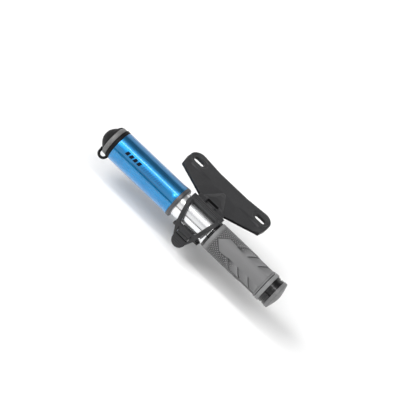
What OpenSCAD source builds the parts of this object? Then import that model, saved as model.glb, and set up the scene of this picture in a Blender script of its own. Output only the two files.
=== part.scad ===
// Mini pump with a side bracket, for a bicycle frame.
// Millimetres. The origin is the centre of the plate's two bolt slots, on its contact face.
// +X runs along the pump to its grip end, +Z points away from the bicycle frame, and the
// pump lies on the -Y side. "Station" means distance along the pump from the dust cap's tip.

/* [Placement] */
// Distance from the bolt line to the pump's axis, across the plate
axis_offset = 36.5; // [36:0.1:38]
// Depth of the pump's axis below the plate's contact face
axis_drop = 10; // [9.5:0.1:10.5]
// Station of the pump that sits at the middle of the bracket
middle_station = 96; // [95.5:0.1:96.5]

/* [Bracket] */
// Distance between the two bolts
bolt_spacing = 64; // [62:0.5:66]
// Width of each bolt slot
slot_width = 5.4; // [5.2:0.1:6]
// End-to-end length of each bolt slot
slot_length = 10; // [8:0.5:12]
// Thickness of the plate
plate_thick = 3.6; // [3.2:0.1:4]
// Length of the plate along the pump
plate_length = 82; // [80:1:86]
// Length of the cradle along the pump
cradle_length = 25; // [24:0.5:25]
// Outer radius of the cradle
cradle_r = 13.3; // [13:0.1:13.5]
// How far the cradle's mouth points up from the plate's plane, in degrees
mouth_tilt = 15; // [14:1:16]

/* [Strap] */
// Thickness of the strap
strap_thick = 1.9; // [1.6:0.1:2]
// Width of each strap arm
arm_width = 3.3; // [3:0.1:3.5]
// Half-width of the strap at its root
strap_half = 15; // [14.8:0.1:15.1]

/* [Sleeve] */
// Outer radius of the sleeve
sleeve_r = 12.7; // [12.5:0.1:12.7]
// Outer radius of the sleeve's collar
collar_r = 13; // [12.8:0.1:13.1]
// Wall of the sleeve
sleeve_wall = 1.35; // [1.2:0.05:1.35]
// Station where the sleeve starts
sleeve_start = 14.2; // [14:0.1:14.4]
// Station where the sleeve ends and its collar starts
sleeve_end = 74.6; // [74.4:0.1:74.8]

/* [Barrel] */
// Outer radius of the barrel
barrel_r = 10.55; // [10.4:0.05:10.6]
// Wall of the barrel
barrel_wall = 1.25; // [1.2:0.05:1.3]
// Station of the shoulder at the grip's front
shoulder_station = 110.2; // [110:0.1:110.4]
// Radius of the shoulder and of the gloss bands
shoulder_r = 11.45; // [11.3:0.05:11.5]

/* [Grip] */
// Outer radius of the grip
grip_r = 12; // [11.8:0.1:12.2]
// Station where the grip's rubber starts
grip_start = 115.3; // [115.1:0.1:115.5]
// Station where the grip's rubber ends
grip_end = 165.6; // [165.2:0.1:165.8]
// Outer radius of the end cap
end_cap_r = 11.75; // [11.5:0.05:11.9]
// Length of the pump when it is closed
pump_length = 180.8; // [180.4:0.1:181.4]

/* [Dust cap and head] */
// Radius of the dust cap's rim
cap_rim_r = 10.9; // [10.7:0.1:11]
// Length of the dust cap's dome
cap_length = 7.15; // [7:0.05:7.2]
// Thickness of the dust cap's rubber
cap_wall = 1.5; // [1.2:0.1:1.6]
// Bluntness of the dust cap's dome: smaller is blunter
cap_bluntness = 0.42; // [0.38:0.01:0.46]
// Radius of the lock knob
knob_r = 7; // [6.8:0.1:7]
// Outer radius of the hose
hose_r = 3.1; // [3:0.05:3.15]
// Inner radius of the hose
hose_bore_r = 1.5; // [1.3:0.1:1.6]

/* [Hidden] */

fit = 0.05;       // gap between pieces that are fixed together
run = 0.08;       // radial gap between pieces that slide or turn
seal_gap = 0.02;  // gap round a seal
round_fn = 96;

axis_y = -axis_offset;
axis_z = -axis_drop;
bore_r = barrel_r + 0.2;            // cradle bore
shoulder_bore_r = shoulder_r + 0.3; // cradle bore round the barrel's shoulder
shoulder_x = 10.2;                  // where that wider bore starts
sleeve_bore_r = sleeve_r - sleeve_wall;
barrel_bore_r = barrel_r - barrel_wall;
guide_seat_r = barrel_r - 0.55;      // seat of the guide ring
grip_seat_r = 11;                   // handle core under the grip and its rings
rod_r = 4.5;
rod_bore_r = 3.6;

// Stations inside the pump
pocket_floor = 22;    // bottom of the head's pocket
rod_start = 23;       // first end of the rod, in the sleeve plug
plug_end = 26;        // inner end of the sleeve plug
barrel_start = 26.5;  // open end of the barrel
guide_end = 30.3;     // end of the guide ring on the barrel
collar_end = 77.6;    // open end of the sleeve's collar
piston_start = 153;
piston_end = 161.4;
bumper_start = 162.4;
end_plug_start = 164;
seat_end = 169.3;      // end of the seat for the grip and its rings
barrel_end = 172;
core_end = 175;
head_start = 9.6;     // front of the lock knob
head_end = 21.6;      // back of the pump head
hose_end = 142;
ferrule_end = 150;

// Leash: centre and radii of its loop, and the direction it points in
leash_station = 9.3;
leash_out = 12.5;
leash_loop_r = 3.4;
leash_cord_r = 1.1;
leash_angle = 225;    // from +Y towards +Z, round the pump's axis
leash_sweep = 150;    // short of a half turn, so that the dust cap can swing past its end

// Strap path, in the pump's cross-section with y across and z up from its axis
hinge_y = -2.5;
hinge_z = 13.7;
path_r = 12.8;        // middle of the strap round the barrel
lower_y = -12.5;      // middle of the strap in front of the hook
loop_bottom_z = -14;
tab_y = -15;
tab_z = -20.8;

// Shapes

// A profile of [radius, station] points turned round the pump's axis
module turned(points) {
    translate([-middle_station, axis_y, axis_z])
    rotate([0, 90, 0])
    rotate_extrude($fn = round_fn)
    polygon(points);
}

module tube(r_out, r_in, from, to) {
    turned([[r_in, from], [r_out, from], [r_out, to], [r_in, to]]);
}

module solid(r, from, to) {
    tube(r, 0, from, to);
}

module o_ring(r_mid, cord_r, station) {
    translate([station - middle_station, axis_y, axis_z])
    rotate([0, 90, 0])
    rotate_extrude($fn = round_fn)
    translate([r_mid, 0])
    circle(r = cord_r, $fn = 32);
}

// A shape in the pump's cross-section, drawn out along the pump from one x to another
module along_pump(from, to) {
    translate([from, axis_y, axis_z])
    rotate([90, 0, 90])
    linear_extrude(to - from)
    children();
}

// A shape in the plate's plane, drawn up from one height to another
module upright(from, to) {
    translate([0, 0, from])
    linear_extrude(to - from)
    children();
}

// Bracket

module slot_shape(width, length) {
    for (side = [-1, 1])
        translate([side * (length - width) / 2, 0])
        circle(d = width, $fn = 64);
    square([length - width, width], center = true);
}

module plate_shape() {
    half = plate_length / 2;
    end_r = 8.5;
    for (side = [-1, 1])
        translate([side * (half - end_r), 0])
        circle(r = end_r, $fn = 64);
    polygon([
        [-half, 0], [-half, -6], [-half + 1.2, -13.5], [-12.5, -26.2],
        [12.5, -26.2], [half - 1.2, -13.5], [half, -6], [half, 0],
        [half - end_r, end_r], [14, 6.2], [-14, 6.2], [-half + end_r, end_r]
    ]);
}

// Raised facet from the flat near edge back to a point behind it
module facet_shape() {
    polygon([[-9.5, -25.2], [9.5, -25.2], [1.2, -9], [-1.2, -9]]);
}

// Notch across the plate's flat edge, for the strap root's foot
notch_half = 5.4;
notch_front = -29.6;
notch_back = -25.1;
notch_depth = 2.6;

module notch_shape() {
    translate([-notch_half, notch_front])
    square([2 * notch_half, notch_back - notch_front]);
}

// Everything that the pump passes through as it leaves the cradle
module mouth_shape(r) {
    half = r + 0.1;
    circle(r = r, $fn = round_fn);
    rotate(180 - mouth_tilt)
    translate([0, -half])
    square([30, 2 * half]);
}

module cradle_shape() {
    circle(r = cradle_r, $fn = round_fn);
    // web behind the pump and jaw over it
    polygon([[13.2, -1], [15.5, axis_drop], [15.5, axis_drop + plate_thick],
        [10.3, axis_drop + plate_thick],
        [6.5, 12.6], [2, 12.6], [2, 9]]);
    // lower jaw
    polygon([[-1, -12.5], [-1, -8], [-8.1, -6], [-8.7, -11.6], [-3.4, -13]]);
}

// Room for the strap root, which lies on the upper jaw and in front of it
module root_seat_shape() {
    polygon([[-15, 3], [1.9, 3], [1.9, 12.6], [6.5, 12.6], [6.5, 16], [-15, 16]]);
}

// Tongue that the strap's loop hooks over, narrowing to its tip
module hook_shape() {
    polygon([[-6, -7], [-14, -5.6], [-14.5, -8], [-14.4, -10.5], [-8.5, -12.8], [-5, -12.6]]);
}

module mount_bracket() {
    hook_half = 5.2;
    color([0.16, 0.16, 0.17])
    difference() {
        union() {
            upright(0, plate_thick) plate_shape();
            upright(plate_thick - 0.1, plate_thick + 1) facet_shape();
            along_pump(-cradle_length / 2, cradle_length / 2) cradle_shape();
            along_pump(-hook_half, hook_half) hook_shape();
        }
        for (side = [-1, 1])
            translate([side * bolt_spacing / 2, 0, -1])
            linear_extrude(plate_thick + 2)
            slot_shape(slot_width, slot_length);
        for (side = [-1, 1])
            translate([side * bolt_spacing / 2, 0, plate_thick - 0.6])
            linear_extrude(2)
            slot_shape(slot_width + 5, slot_length + 5);
        upright(plate_thick - notch_depth, plate_thick + 2) notch_shape();
        along_pump(-cradle_length, cradle_length) mouth_shape(bore_r);
        along_pump(-cradle_length, cradle_length) root_seat_shape();
        along_pump(shoulder_x, cradle_length) mouth_shape(shoulder_bore_r);
    }
}

// Strap

// Middle of the strap from its hinge round the barrel: the radius eases in as it goes
function path_point(angle) =
    let (left = (190 - angle) / 90)
    let (r = path_r + 1.13 * left * left)
    [r * cos(angle), r * sin(angle)];

// The middle of the strap moved outward by a distance
function path_offset(angle, out) =
    path_point(angle) + out * [cos(angle), sin(angle)];

module strap_band_shape() {
    half = strap_thick / 2;
    angles = [for (a = [102 : 8 : 190]) a];
    outer = [for (a = angles) path_offset(a, half)];
    inner = [for (i = [len(angles) - 1 : -1 : 0]) path_offset(angles[i], -half)];
    polygon(concat(
        [[hinge_y, hinge_z + half]], outer,
        [[lower_y - half, loop_bottom_z + 1.5], [tab_y - half, tab_z],
         [tab_y + half * 0.6, tab_z - 0.3], [lower_y + half, loop_bottom_z]],
        inner, [[hinge_y, hinge_z - half]]
    ));
    translate([hinge_y, hinge_z])
    circle(r = half, $fn = 32);
}

// An outline's right half, given from its top down, with its mirror image
function mirrored(points) =
    concat(points, [for (i = [len(points) - 1 : -1 : 0]) [-points[i][0], points[i][1]]]);

// The strap's front view: x along the pump, z up from its axis
module strap_front_shape() {
    top = hinge_z + 2;
    bar_top = -2.8;
    bar_bottom = -4.7;
    loop_half = 7.2;
    tab_half = 6;
    // outer edge of the right arm over the barrel
    arm = [[strap_half, top], [strap_half, hinge_z - 1.1], [14, 11.4], [13.2, 9.5],
        [11.5, 3.3]];
    fillet = 1.3;
    difference() {
        union() {
            polygon(mirrored(concat(arm, [[10.5, bar_top], [9.8, -6.2], [loop_half, -12.5],
                [tab_half, tab_z + tab_half]])));
            translate([0, tab_z + tab_half])
            circle(r = tab_half, $fn = 48);
        }
        // window over the barrel
        polygon(mirrored(concat(
            [[strap_half - arm_width, top + 1]],
            [for (point = arm) point - [arm_width, 0]],
            [[10.7 - arm_width, bar_top + fillet], [10.4 - arm_width - fillet, bar_top]]
        )));
        // window over the hook
        polygon(mirrored([[6.4, bar_bottom], [5.6, -12.1]]));
    }
}

module strap() {
    color([0.2, 0.2, 0.2]) {
        intersection() {
            along_pump(-strap_half, strap_half) strap_band_shape();
            translate([0, 0, axis_z])
            rotate([90, 0, 0])
            linear_extrude(80)
            strap_front_shape();
        }
        // grip ridges on the tab
        for (i = [0 : 2]) {
            t = 0.3 + 0.22 * i;
            y = lower_y + (tab_y - lower_y) * t;
            z = loop_bottom_z + (tab_z - loop_bottom_z) * t;
            ridge_half = 4.9 - 0.6 * i;
            along_pump(-ridge_half, ridge_half)
            translate([y - strap_thick / 2, z])
            circle(r = 0.5, $fn = 24);
        }
    }
}

// Anchored end of the strap: a ridged block over the jaw, a foot in the plate's notch,
// and the first stretch of both arms
module strap_root() {
    block_half = strap_half - arm_width - 0.1;
    clear = strap_thick / 2 + 0.1;
    foot_half = 3;
    color([0.28, 0.28, 0.28])
    difference() {
        union() {
            // arms, with a sloped front so that the strap can swing back over them
            along_pump(-strap_half, strap_half)
            polygon([[hinge_y + 1.2, 12.7], [1.8, 12], [1.8, 12.7], [5.5, 12.7], [5.5, 13.9],
                [4, 14.6], [hinge_y + 2.8, 14.6], [hinge_y + 1.2, 13.5]]);
            along_pump(-block_half, block_half)
            polygon([[hinge_y - 0.3, 12.7], [1.8, 11.8], [1.8, 12.7], [5.2, 12.7],
                [5.2, 13.9], [4.6, 14.5], [hinge_y + 0.5, 14.5], [hinge_y - 0.3, 13.9]]);
            // foot
            along_pump(-foot_half, foot_half)
            polygon([[5, 12.8], [6.5, 12.85], [7.05, 13], [7.05, 11.1], [8.8, 11.1],
                [8.8, 12.9], [8, 13.8], [5, 13.8]]);
            // ridges
            for (i = [0 : 2])
                along_pump(-block_half + 1, block_half - 1)
                translate([hinge_y + 1.4 + 1.9 * i, 14.4])
                circle(r = 0.55, $fn = 24);
        }
        for (side = [-1, 1])
            translate([side * strap_half, 0, 0])
            along_pump(-arm_width - 0.1, arm_width + 0.1)
            translate([hinge_y, hinge_z])
            circle(r = clear, $fn = 32);
    }
}

// Barrel and grip

module barrel_tube() {
    color([0.85, 0.85, 0.86])
    turned([
        [barrel_bore_r, barrel_start], [guide_seat_r, barrel_start],
        [guide_seat_r, guide_end + fit], [barrel_r, guide_end + fit],
        // flare in front of the shoulder
        [barrel_r, shoulder_station - 3.9], [barrel_r + 0.2, shoulder_station - 2.7],
        [shoulder_r - 0.2, shoulder_station - 1.2], [shoulder_r, shoulder_station - 0.4],
        [shoulder_r, shoulder_station], [barrel_r, shoulder_station],
        [barrel_r, barrel_end], [barrel_bore_r, barrel_end]
    ]);
}

module barrel_guide_ring() {
    color([0.9, 0.9, 0.85])
    tube(sleeve_bore_r - run, guide_seat_r + fit, barrel_start + 0.1, guide_end);
}

module handle_core() {
    groove = 171.6;
    color([0.08, 0.08, 0.08])
    turned([
        [barrel_r + fit, shoulder_station + fit], [shoulder_r, shoulder_station + fit],
        [shoulder_r, shoulder_station + 2.3], [grip_seat_r, shoulder_station + 2.3],
        [grip_seat_r, seat_end], [shoulder_r, seat_end], [shoulder_r, groove],
        [shoulder_r - 0.5, groove], [shoulder_r - 0.5, groove + 1.1],
        [shoulder_r, groove + 1.1], [shoulder_r, core_end],
        [barrel_r + fit, core_end]
    ]);
}

module grip_front_ring() {
    color([0.55, 0.55, 0.55])
    tube(grip_r - 0.05, grip_seat_r + fit, shoulder_station + 2.35, grip_start - fit);
}

module grip() {
    edge = 0.4;
    color([0.46, 0.46, 0.46])
    turned([
        [grip_seat_r + fit, grip_start], [grip_r - edge, grip_start],
        [grip_r, grip_start + edge], [grip_r, grip_end - edge], [grip_r - edge, grip_end],
        [grip_seat_r + fit, grip_end]
    ]);
}

module grip_rear_ring() {
    color([0.5, 0.5, 0.5])
    tube(grip_r + 0.2, grip_seat_r + fit, grip_end + 0.5, seat_end - fit);
}

module end_plug() {
    r = barrel_bore_r - fit;
    groove = 167;
    stud_hole_r = 3.1;
    color([0.75, 0.75, 0.76])
    turned([
        [0, end_plug_start], [r, end_plug_start], [r, groove], [7.9, groove],
        [7.9, groove + 1.6], [r, groove + 1.6], [r, barrel_end + fit],
        [barrel_r, barrel_end + fit], [barrel_r, core_end - 0.1], [stud_hole_r, core_end - 0.1],
        [stud_hole_r, 169.4], [0, 169.4]
    ]);
}

module end_plug_seal() {
    color([0.1, 0.1, 0.1])
    o_ring(8.6, 0.66, 167.8);
}

module bumper() {
    color([0.15, 0.15, 0.15])
    turned([[0, bumper_start + 0.3], [6.5, bumper_start], [8, bumper_start + 0.6],
        [8, end_plug_start - fit], [0, end_plug_start - fit]]);
}

module end_cap() {
    rim_end = 178;
    color([0.5, 0.5, 0.51])
    turned([
        [0, 169.6], [3, 169.6], [3, core_end + fit], [end_cap_r, core_end + fit],
        [end_cap_r, rim_end - 0.4], [end_cap_r - 0.3, rim_end], [9, rim_end + 0.85],
        [5, rim_end + 2], [2, pump_length - 0.1], [0, pump_length]
    ]);
}

// Sleeve

module sleeve_tube() {
    color([0.16, 0.52, 0.8])
    turned([
        [sleeve_bore_r, sleeve_start], [sleeve_r - 0.3, sleeve_start],
        [sleeve_r, sleeve_start + 0.4], [sleeve_r, sleeve_end - 6],
        [sleeve_r + 0.12, sleeve_end - 3], [collar_r, sleeve_end - 0.6],
        [collar_r, sleeve_end], [sleeve_bore_r, sleeve_end]
    ]);
}

module sleeve_collar() {
    groove = 75.4;
    bore = barrel_r + run;
    color([0.35, 0.35, 0.36])
    turned([
        [bore, 71.6], [sleeve_bore_r - fit, 71.6], [sleeve_bore_r - fit, sleeve_end + fit],
        [collar_r, sleeve_end + fit], [collar_r, collar_end - 0.4],
        [collar_r - 0.4, collar_end], [bore, collar_end], [bore, groove + 1.4],
        [11.2, groove + 1.4], [11.2, groove], [bore, groove]
    ]);
}

module collar_wiper() {
    color([0.12, 0.12, 0.12])
    tube(11.2 - fit, barrel_r + seal_gap, 75.45, 76.75);
}

module sleeve_plug() {
    neck_r = 10.35;
    mouth = 8.4;
    body_r = sleeve_bore_r - fit;
    groove = 24.2;
    color([0.2, 0.2, 0.22])
    turned([
        [knob_r + 0.6, mouth], [neck_r, mouth], [neck_r, 10.9], [body_r - 0.05, 10.9],
        [body_r - 0.05, plug_end], [rod_r + fit, plug_end], [rod_r + fit, groove + 1],
        [rod_r + 1, groove + 1], [rod_r + 1, groove], [rod_r + fit, groove],
        [rod_r + fit, rod_start], [hose_r + 0.2, rod_start], [hose_r + 0.2, pocket_floor],
        [knob_r + 0.6, pocket_floor]
    ]);
}

module head_collar() {
    r = 12.2;
    front = cap_length + 0.15;
    color([0.55, 0.55, 0.55])
    turned([
        [9.6, front], [r - 0.4, front], [r, front + 0.4], [r, 10.6], [r - 0.2, 10.9 - fit],
        [10.4, 10.9 - fit], [10.4, 8.35], [9.6, 8.35]
    ]);
}

module cap_ring() {
    color([0.22, 0.22, 0.22])
    turned([
        [sleeve_bore_r, 10.95], [sleeve_r - 0.3, 10.95], [sleeve_r, 11.25],
        [sleeve_r, sleeve_start - 0.35], [sleeve_r - 0.3, sleeve_start - fit],
        [sleeve_bore_r, sleeve_start - fit]
    ]);
}

// Puts a shape at the leash's loop: its x runs along the pump and its y points outward
module at_leash() {
    translate([leash_station - middle_station, axis_y, axis_z])
    rotate([leash_angle, 0, 0])
    translate([0, leash_out, 0])
    children();
}

module cap_leash() {
    color([0.2, 0.2, 0.2])
    difference() {
        at_leash()
        rotate_extrude(angle = leash_sweep, $fn = 64)
        translate([leash_loop_r, 0])
        circle(r = leash_cord_r, $fn = 32);
        solid(sleeve_r + fit, 5, 20);
    }
}

// Rod and piston

module rod_seal() {
    color([0.1, 0.1, 0.1])
    o_ring(rod_r + 0.5, 0.44, 24.7);
}

module piston_rod() {
    color([0.7, 0.7, 0.72])
    tube(rod_r, rod_bore_r, rod_start + fit, 156.5);
}

module piston() {
    r = barrel_bore_r - run;
    groove = 156;
    socket_r = rod_r + fit;
    socket_end = 157.6;
    color([0.88, 0.88, 0.84])
    turned([
        [socket_r, piston_start], [r, piston_start], [r, groove], [7.6, groove],
        [7.6, groove + 2], [r, groove + 2], [r, piston_end], [1.5, piston_end],
        [1.5, socket_end], [socket_r, socket_end]
    ]);
}

module piston_seal() {
    color([0.1, 0.1, 0.1])
    o_ring(8.44, 0.82, 157);
}

// Duckbill valve in the rod's end: air passes into the rod, not back
module check_valve() {
    color([0.6, 0.15, 0.1])
    turned([
        [1, 157.5], [4.4, 157.5], [4.4, 156.6], [2.2, 156.6], [2.2, 155], [0.4, 151.6],
        [0.15, 151.6], [1, 155]
    ]);
}

// Dust cap, head and hose

function dome_r(rim, length, station) = rim * pow(station / length, cap_bluntness);

module dust_cap() {
    steps = [0.03, 0.1, 0.2, 0.35, 0.5, 0.65, 0.82, 1];
    inner_r = cap_rim_r - cap_wall;
    inner_length = cap_length - cap_wall;
    skirt_end = 8.4;
    skirt_r = 9;
    outer = [for (t = steps) [dome_r(cap_rim_r, cap_length, t * cap_length), t * cap_length]];
    inner = [for (i = [len(steps) - 1 : -1 : 0])
        [dome_r(inner_r - 1, inner_length, steps[i] * inner_length),
         cap_wall + steps[i] * inner_length]];
    color([0.2, 0.2, 0.2])
    turned(concat([[0, 0]], outer, [[skirt_r, cap_length], [skirt_r, skirt_end],
        [skirt_r - 0.8, skirt_end]], inner, [[0, cap_wall]]));
}

module lock_knob() {
    knob_end = 15.4;
    flutes = 12;
    flute_r = 0.9;
    color([0.12, 0.12, 0.12])
    difference() {
        turned([
            [4, head_start], [knob_r - 1.4, head_start], [knob_r, head_start + 1.6],
            [knob_r, knob_end], [5.3 + run, knob_end], [5.3 + run, head_start + 0.7],
            [4, head_start + 0.7]
        ]);
        for (i = [0 : flutes - 1])
            translate([head_start - middle_station - 1, axis_y, axis_z])
            rotate([i * 360 / flutes, 0, 0])
            translate([0, knob_r + 0.4, 0])
            rotate([0, 90, 0])
            cylinder(r = flute_r, h = 10, $fn = 24);
    }
}

module pump_head() {
    neck_r = 5.3;
    front = head_start + 0.8;
    gasket_floor = 14;
    crimp_room = 17.4;
    color([0.3, 0.3, 0.32])
    turned([
        [4.35, front], [neck_r, front], [neck_r, 15.5], [6.6, 15.5], [6.6, 20.6],
        [5.8, head_end], [4.05, head_end], [4.05, crimp_room], [hose_bore_r - fit, crimp_room],
        [hose_bore_r - fit, 20.5], [0.9, 20.5], [0.9, gasket_floor], [4.35, gasket_floor]
    ]);
}

module head_gasket() {
    color([0.1, 0.1, 0.1])
    turned([[2.6, 10.6], [4.3, 10.6], [4.3, 13.9], [2.6, 13.9], [3, 12.2]]);
}

module hose() {
    color([0.12, 0.12, 0.12])
    tube(hose_r, hose_bore_r, 17.5, hose_end);
}

module hose_crimp() {
    color([0.75, 0.7, 0.5])
    tube(4, hose_r + fit, 17.6, 21.5);
}

module hose_ferrule() {
    groove = 145;
    color([0.75, 0.7, 0.5])
    turned([
        [0.8, hose_end - 6], [hose_bore_r - fit, hose_end - 6],
        [hose_bore_r - fit, hose_end + fit], [rod_bore_r - run, hose_end + fit],
        [rod_bore_r - run, groove], [2.6, groove], [2.6, groove + 1.2],
        [rod_bore_r - run, groove + 1.2], [rod_bore_r - run, ferrule_end], [0.8, ferrule_end]
    ]);
}

module ferrule_seal() {
    color([0.1, 0.1, 0.1])
    o_ring(3.1, 0.46, 145.6);
}

mount_bracket();
strap_root();
strap();
barrel_tube();
barrel_guide_ring();
handle_core();
grip();
grip_front_ring();
grip_rear_ring();
end_plug();
end_plug_seal();
bumper();
end_cap();
sleeve_tube();
sleeve_collar();
collar_wiper();
sleeve_plug();
head_collar();
cap_ring();
cap_leash();
rod_seal();
piston_rod();
piston();
piston_seal();
check_valve();
dust_cap();
hose();
hose_crimp();
hose_ferrule();
ferrule_seal();
pump_head();
head_gasket();
lock_knob();
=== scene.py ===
"""Looks for the mini pump: turned metal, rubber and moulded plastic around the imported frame.

Lengths in this script are millimetres unless a name ends in _m. "Station" is the distance along
the pump from the dust cap's tip. Angles round the pump run from -Y towards +Z, in degrees. An
outline of a turned piece is a list of (station, radius).
"""
import math

import bmesh
import bpy
import numpy as np
from mathutils import Matrix, Vector

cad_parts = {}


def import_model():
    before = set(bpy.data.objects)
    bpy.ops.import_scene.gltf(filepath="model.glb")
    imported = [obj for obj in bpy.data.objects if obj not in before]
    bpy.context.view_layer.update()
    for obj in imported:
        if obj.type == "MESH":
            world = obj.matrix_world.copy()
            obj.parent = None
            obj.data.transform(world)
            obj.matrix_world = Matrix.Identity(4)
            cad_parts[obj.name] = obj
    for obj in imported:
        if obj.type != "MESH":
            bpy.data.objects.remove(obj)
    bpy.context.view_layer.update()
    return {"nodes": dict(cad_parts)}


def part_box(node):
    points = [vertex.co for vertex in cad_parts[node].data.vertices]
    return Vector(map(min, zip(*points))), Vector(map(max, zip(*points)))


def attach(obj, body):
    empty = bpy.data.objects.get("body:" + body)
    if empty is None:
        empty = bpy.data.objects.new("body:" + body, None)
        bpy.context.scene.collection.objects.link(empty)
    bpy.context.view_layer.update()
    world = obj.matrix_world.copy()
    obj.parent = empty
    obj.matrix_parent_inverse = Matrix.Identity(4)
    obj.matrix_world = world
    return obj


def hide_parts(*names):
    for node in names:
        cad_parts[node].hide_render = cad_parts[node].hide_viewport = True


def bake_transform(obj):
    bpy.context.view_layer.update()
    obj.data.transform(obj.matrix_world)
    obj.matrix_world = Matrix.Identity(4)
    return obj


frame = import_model()

MM = 0.001

# Camera
VIEW_AZIMUTH = 8.5
VIEW_ELEVATION = 40.0
VIEW_ROLL = 38.13
VIEW_STATION = 89.8          # the point on the pump's axis that it looks at
VIEW_OFFSET = (6.31, 11.04)  # how far that point is moved to the picture's right and up
VIEW_DISTANCE_M = 1.2
VIEW_WIDTH_M = 0.2997        # width of the picture at the pump

# Studio light: brightness by angle from -Y towards +Z
STUDIO_LEVELS = [
    (-180, 0.7), (-6, 0.75), (-3, 0.02), (7, 0.02), (10, 0.72), (13, 0.9), (34, 0.8), (42, 0.55),
    (50, 0.55), (57, 0.9), (68, 1.15), (71, 1.3), (71.8, 8.0), (75.2, 8.0), (76, 1.3), (86, 0.9),
    (97, 0.35), (106, 0.2), (130, 0.18), (140, 0.7), (150, 0.9), (180, 0.7),
]

# Sizes that the pieces' boxes don't show
RUN = 0.08            # gap between pieces that slide or turn on each other
FIT = 0.05            # gap between pieces fixed together
BARREL_WALL = 1.25
GUIDE_SEAT_DEPTH = 0.55
CORE_UNDER_GRIP_R = 11.0
CAP_WALL = 1.5
HOSE_BORE_R = 1.5
LEASH_OUT = 12.5      # centre of the leash's loop, from the pump's axis
LEASH_LOOP_R = 3.4
LEASH_CORD_R = 1.1
LEASH_ANGLE = -45.0
PLATE_THICK = 3.6


# ---------------------------------------------------------------- places from the frame

def axis_centre():
    """The pump's axis in y and z, from the barrel's box."""
    low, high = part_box("barrel_tube")
    return (low.y + high.y) / 2, (low.z + high.z) / 2


AXIS_Y, AXIS_Z = axis_centre()
TIP_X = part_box("dust_cap")[0].x


def first(node):
    """Station of a node's end nearest the dust cap."""
    return (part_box(node)[0].x - TIP_X) / MM


def last(node):
    """Station of a node's end nearest the grip's end cap."""
    return (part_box(node)[1].x - TIP_X) / MM


def radius(node):
    """Half of a turned node's height."""
    low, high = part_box(node)
    return (high.z - low.z) / 2 / MM


def place(station, r, angle):
    """A point by station, distance from the pump's axis and angle round it, in metres."""
    turn = math.radians(angle)
    return Vector((
        TIP_X + station * MM,
        AXIS_Y - r * MM * math.cos(turn),
        AXIS_Z + r * MM * math.sin(turn),
    ))


def across(x, y, z):
    """A point by x along the pump, and y and z from the pump's axis, in metres."""
    return Vector((x * MM, AXIS_Y + y * MM, AXIS_Z + z * MM))


SHOULDER = first("handle_core")
BARREL_R = radius("piston") + RUN + BARREL_WALL
SHOULDER_R = radius("barrel_tube")
SLEEVE_BORE = radius("barrel_guide_ring") + RUN
COLLAR_R = radius("sleeve_collar")
RING_R = radius("cap_ring")


# ---------------------------------------------------------------- shader helpers

def add(tree, kind, inputs=None, **settings):
    """Adds a node; inputs maps a socket's name or number to a value or to another socket."""
    made = tree.nodes.new(kind)
    for key, value in settings.items():
        setattr(made, key, value)
    for key, value in (inputs or {}).items():
        if isinstance(value, bpy.types.NodeSocket):
            tree.links.new(value, made.inputs[key])
        else:
            made.inputs[key].default_value = value
    return made


def calc(tree, operation, a, b=0.0):
    """One step of arithmetic on sockets or numbers."""
    return add(tree, "ShaderNodeMath", {0: a, 1: b}, operation=operation).outputs[0]


def clamp01(tree, value):
    """The value kept between 0 and 1."""
    return add(tree, "ShaderNodeClamp", {0: value}).outputs[0]


def inside(tree, value, low, high):
    """1 where value lies between low and high."""
    above = calc(tree, "GREATER_THAN", value, low)
    below = calc(tree, "LESS_THAN", value, high)
    return calc(tree, "MULTIPLY", above, below)


def mix_color(tree, factor, a, b):
    """Colour a where the factor is 0, b where it is 1."""
    made = add(tree, "ShaderNodeMix", data_type="RGBA")
    for slot, value in ((0, factor), (6, a), (7, b)):
        if isinstance(value, bpy.types.NodeSocket):
            tree.links.new(value, made.inputs[slot])
        else:
            made.inputs[slot].default_value = value
    return made.outputs[2]


def noise_value(tree, scale, detail=3.0, stretch=(1, 1, 1), rough=0.55):
    """Noise in the row frame; scale is in features per metre."""
    where = add(tree, "ShaderNodeTexCoord").outputs["Object"]
    mapping = add(tree, "ShaderNodeMapping", {0: where, 3: stretch})
    made = add(tree, "ShaderNodeTexNoise", {
        "Vector": mapping.outputs[0], "Scale": scale, "Detail": detail, "Roughness": rough})
    return made.outputs[0]


def spread(tree, value, low, high):
    """Maps noise's usual range to low..high."""
    made = add(tree, "ShaderNodeMapRange", {0: value, 1: 0.3, 2: 0.7, 3: low, 4: high})
    return made.outputs[0]


def bump(tree, height, distance, strength):
    """The surface normal over a small relief."""
    made = add(tree, "ShaderNodeBump", {
        "Height": height, "Distance": distance * MM, "Strength": strength})
    return made.outputs[0]


def edge_mask(tree, width):
    """Bright along a piece's edges, where its corners wear first."""
    rounded = add(tree, "ShaderNodeBevel", {"Radius": width * MM}, samples=4).outputs[0]
    flat = add(tree, "ShaderNodeNewGeometry").outputs["Normal"]
    facing = add(tree, "ShaderNodeVectorMath", {0: rounded, 1: flat}, operation="DOT_PRODUCT")
    bent = calc(tree, "SUBTRACT", 1.0, facing.outputs["Value"])
    return add(tree, "ShaderNodeMapRange", {0: bent, 1: 0.02, 2: 0.25}).outputs[0]


def pump_coordinates(tree):
    """Sockets for station in millimetres and angle round the pump in degrees."""
    where = add(tree, "ShaderNodeTexCoord").outputs["Object"]
    part = add(tree, "ShaderNodeSeparateXYZ", {0: where})
    station = calc(tree, "MULTIPLY", calc(tree, "SUBTRACT", part.outputs[0], TIP_X), 1 / MM)
    forward = calc(tree, "SUBTRACT", AXIS_Y, part.outputs[1])
    up = calc(tree, "SUBTRACT", part.outputs[2], AXIS_Z)
    angle = calc(tree, "DEGREES", calc(tree, "ARCTAN2", up, forward))
    return station, angle


def rgb(r, g, b):
    """A colour with full opacity."""
    return (r, g, b, 1.0)


def shade(color, factor, lift=0.0):
    """A colour made darker or lighter."""
    return rgb(*[min(1.0, c * factor + lift) for c in color[:3]])


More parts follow.
